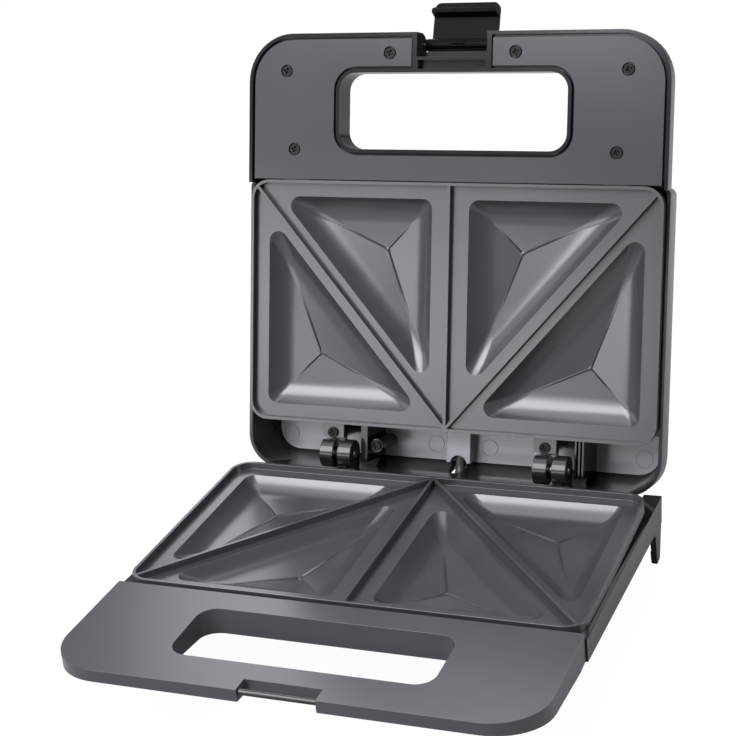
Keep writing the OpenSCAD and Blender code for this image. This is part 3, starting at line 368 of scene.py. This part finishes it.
cameraSetup = {"place": (0.28604, hingeAxis.y - 0.76308, hingeAxis.z + 0.39017), "right": (0.93138, 0.35250, -0.09097),
               "up": (-0.05577, 0.38509, 0.92119), "back": (0.35975, -0.85290, 0.37833), "lens": 84.95,
               "sensor": 36, "shift": (-0.003, -0.003), "clip": (0.01, 50)}


def placeCamera():
    camera = bpy.data.cameras.new("camera")
    camera.lens = cameraSetup["lens"]
    camera.sensor_width = cameraSetup["sensor"]
    camera.sensor_fit = "HORIZONTAL"
    camera.shift_x, camera.shift_y = cameraSetup["shift"]
    camera.clip_start, camera.clip_end = cameraSetup["clip"]
    cameraObject = bpy.data.objects.new("camera", camera)
    scene.collection.objects.link(cameraObject)
    turn = Matrix((cameraSetup["right"], cameraSetup["up"], cameraSetup["back"])).transposed()
    cameraObject.matrix_world = Matrix.Translation(cameraSetup["place"]) @ turn.to_4x4()
    scene.camera = cameraObject


placeCamera()
print("camera placed")

lightTint = (0.97, 0.94, 1.0)
lightSetups = [
    {"name": "softboxFront", "place": (-0.86, -1.44, 0.42), "aim": (0, 0, 0.1), "size": (1.3, 0.36), "power": 7},
    {"name": "softboxHigh", "place": (-0.62, -1.03, 1.38), "aim": (0, 0, 0.1), "size": (1.2, 1.2), "power": 42},
    {"name": "softboxBack", "place": (-0.04, 1.25, 1.05), "aim": (0, -0.1, 0.05), "size": (1.8, 0.9), "power": 15},
    {"name": "softboxLeft", "place": (-1.5, -0.3, 0.8), "aim": (0, 0, 0.1), "size": (0.8, 0.8), "power": 3},
    {"name": "softboxTop", "place": (-0.40, 0.10, 1.70), "aim": (0, -0.02, 0.1), "size": (1.2, 0.9), "power": 8},
    {"name": "softboxRight", "place": (1.35, 0.25, 0.75), "aim": (0.15, 0, 0), "size": (0.7, 0.7), "power": 10},
]
for setup in lightSetups:
    lamp = bpy.data.lights.new(setup["name"], "AREA")
    lamp.shape = "RECTANGLE"
    lamp.size, lamp.size_y = setup["size"]
    lamp.energy = setup["power"]
    lamp.color = lightTint
    lampObject = bpy.data.objects.new(setup["name"], lamp)
    scene.collection.objects.link(lampObject)
    aim = Vector(setup["aim"]) - Vector(setup["place"])
    lampObject.location = setup["place"]
    lampObject.rotation_euler = aim.to_track_quat("-Z", "Y").to_euler()
print("lights:", len(lightSetups))

studioLook = {"tint": (0.94, 0.93, 1.0), "ambient": 0.26, "white": 1.0}
tableLook = {"reach": 6, "grey": 0.36, "rough": 0.9, "specular": 0.1, "glow": 1.12, "glowShare": 0.86}
plainWhite = (1, 1, 1, 1)


# 1 for rays from the camera, also for those that have passed through a clear piece
def seenDirectly(tree):
    rays = tree.nodes.new("ShaderNodeLightPath")
    seen = tree.nodes.new("ShaderNodeMath")
    seen.operation = "MAXIMUM"
    tree.links.new(rays.outputs["Is Camera Ray"], seen.inputs[0])
    tree.links.new(rays.outputs["Is Transmission Ray"], seen.inputs[1])
    return seen.outputs["Value"]


# Dim for the toaster, white behind it
def makeStudio():
    world = bpy.data.worlds.new("studio")
    scene.world = world
    world.use_nodes = True
    tree = world.node_tree
    ambient = tree.nodes["Background"]
    ambient.inputs["Color"].default_value = (*studioLook["tint"], 1)
    ambient.inputs["Strength"].default_value = studioLook["ambient"]
    backdrop = tree.nodes.new("ShaderNodeBackground")
    backdrop.inputs["Color"].default_value = plainWhite
    backdrop.inputs["Strength"].default_value = studioLook["white"]
    mix = tree.nodes.new("ShaderNodeMixShader")
    tree.links.new(seenDirectly(tree), mix.inputs["Fac"])
    tree.links.new(ambient.outputs["Background"], mix.inputs[1])
    tree.links.new(backdrop.outputs["Background"], mix.inputs[2])
    tree.links.new(mix.outputs["Shader"], tree.nodes["World Output"].inputs["Surface"])


# A share of glow makes it nearly white to the camera, and the rest keeps the toaster's shadow
def makeTable():
    bm = bmesh.new()
    bmesh.ops.create_grid(bm, x_segments=1, y_segments=1, size=tableLook["reach"])
    mesh = bpy.data.meshes.new("tableTop")
    bm.to_mesh(mesh)
    bm.free()
    tableTop = bpy.data.objects.new("tableTop", mesh)
    scene.collection.objects.link(tableTop)
    finish, tree, shader = newFinish("paleTable")
    shader.inputs["Base Color"].default_value = (tableLook["grey"], tableLook["grey"], tableLook["grey"], 1)
    shader.inputs["Roughness"].default_value = tableLook["rough"]
    shader.inputs["Specular IOR Level"].default_value = tableLook["specular"]
    glow = tree.nodes.new("ShaderNodeEmission")
    glow.inputs["Color"].default_value = plainWhite
    glow.inputs["Strength"].default_value = tableLook["glow"]
    share = tree.nodes.new("ShaderNodeMath")
    share.operation = "MULTIPLY"
    share.inputs[1].default_value = tableLook["glowShare"]
    mix = tree.nodes.new("ShaderNodeMixShader")
    tree.links.new(seenDirectly(tree), share.inputs[0])
    tree.links.new(share.outputs["Value"], mix.inputs["Fac"])
    tree.links.new(shader.outputs["BSDF"], mix.inputs[1])
    tree.links.new(glow.outputs["Emission"], mix.inputs[2])
    tree.links.new(mix.outputs["Shader"], tree.nodes["Material Output"].inputs["Surface"])
    mesh.materials.append(finish)


makeStudio()
makeTable()
scene.view_settings.view_transform = "Standard"
print("studio set")
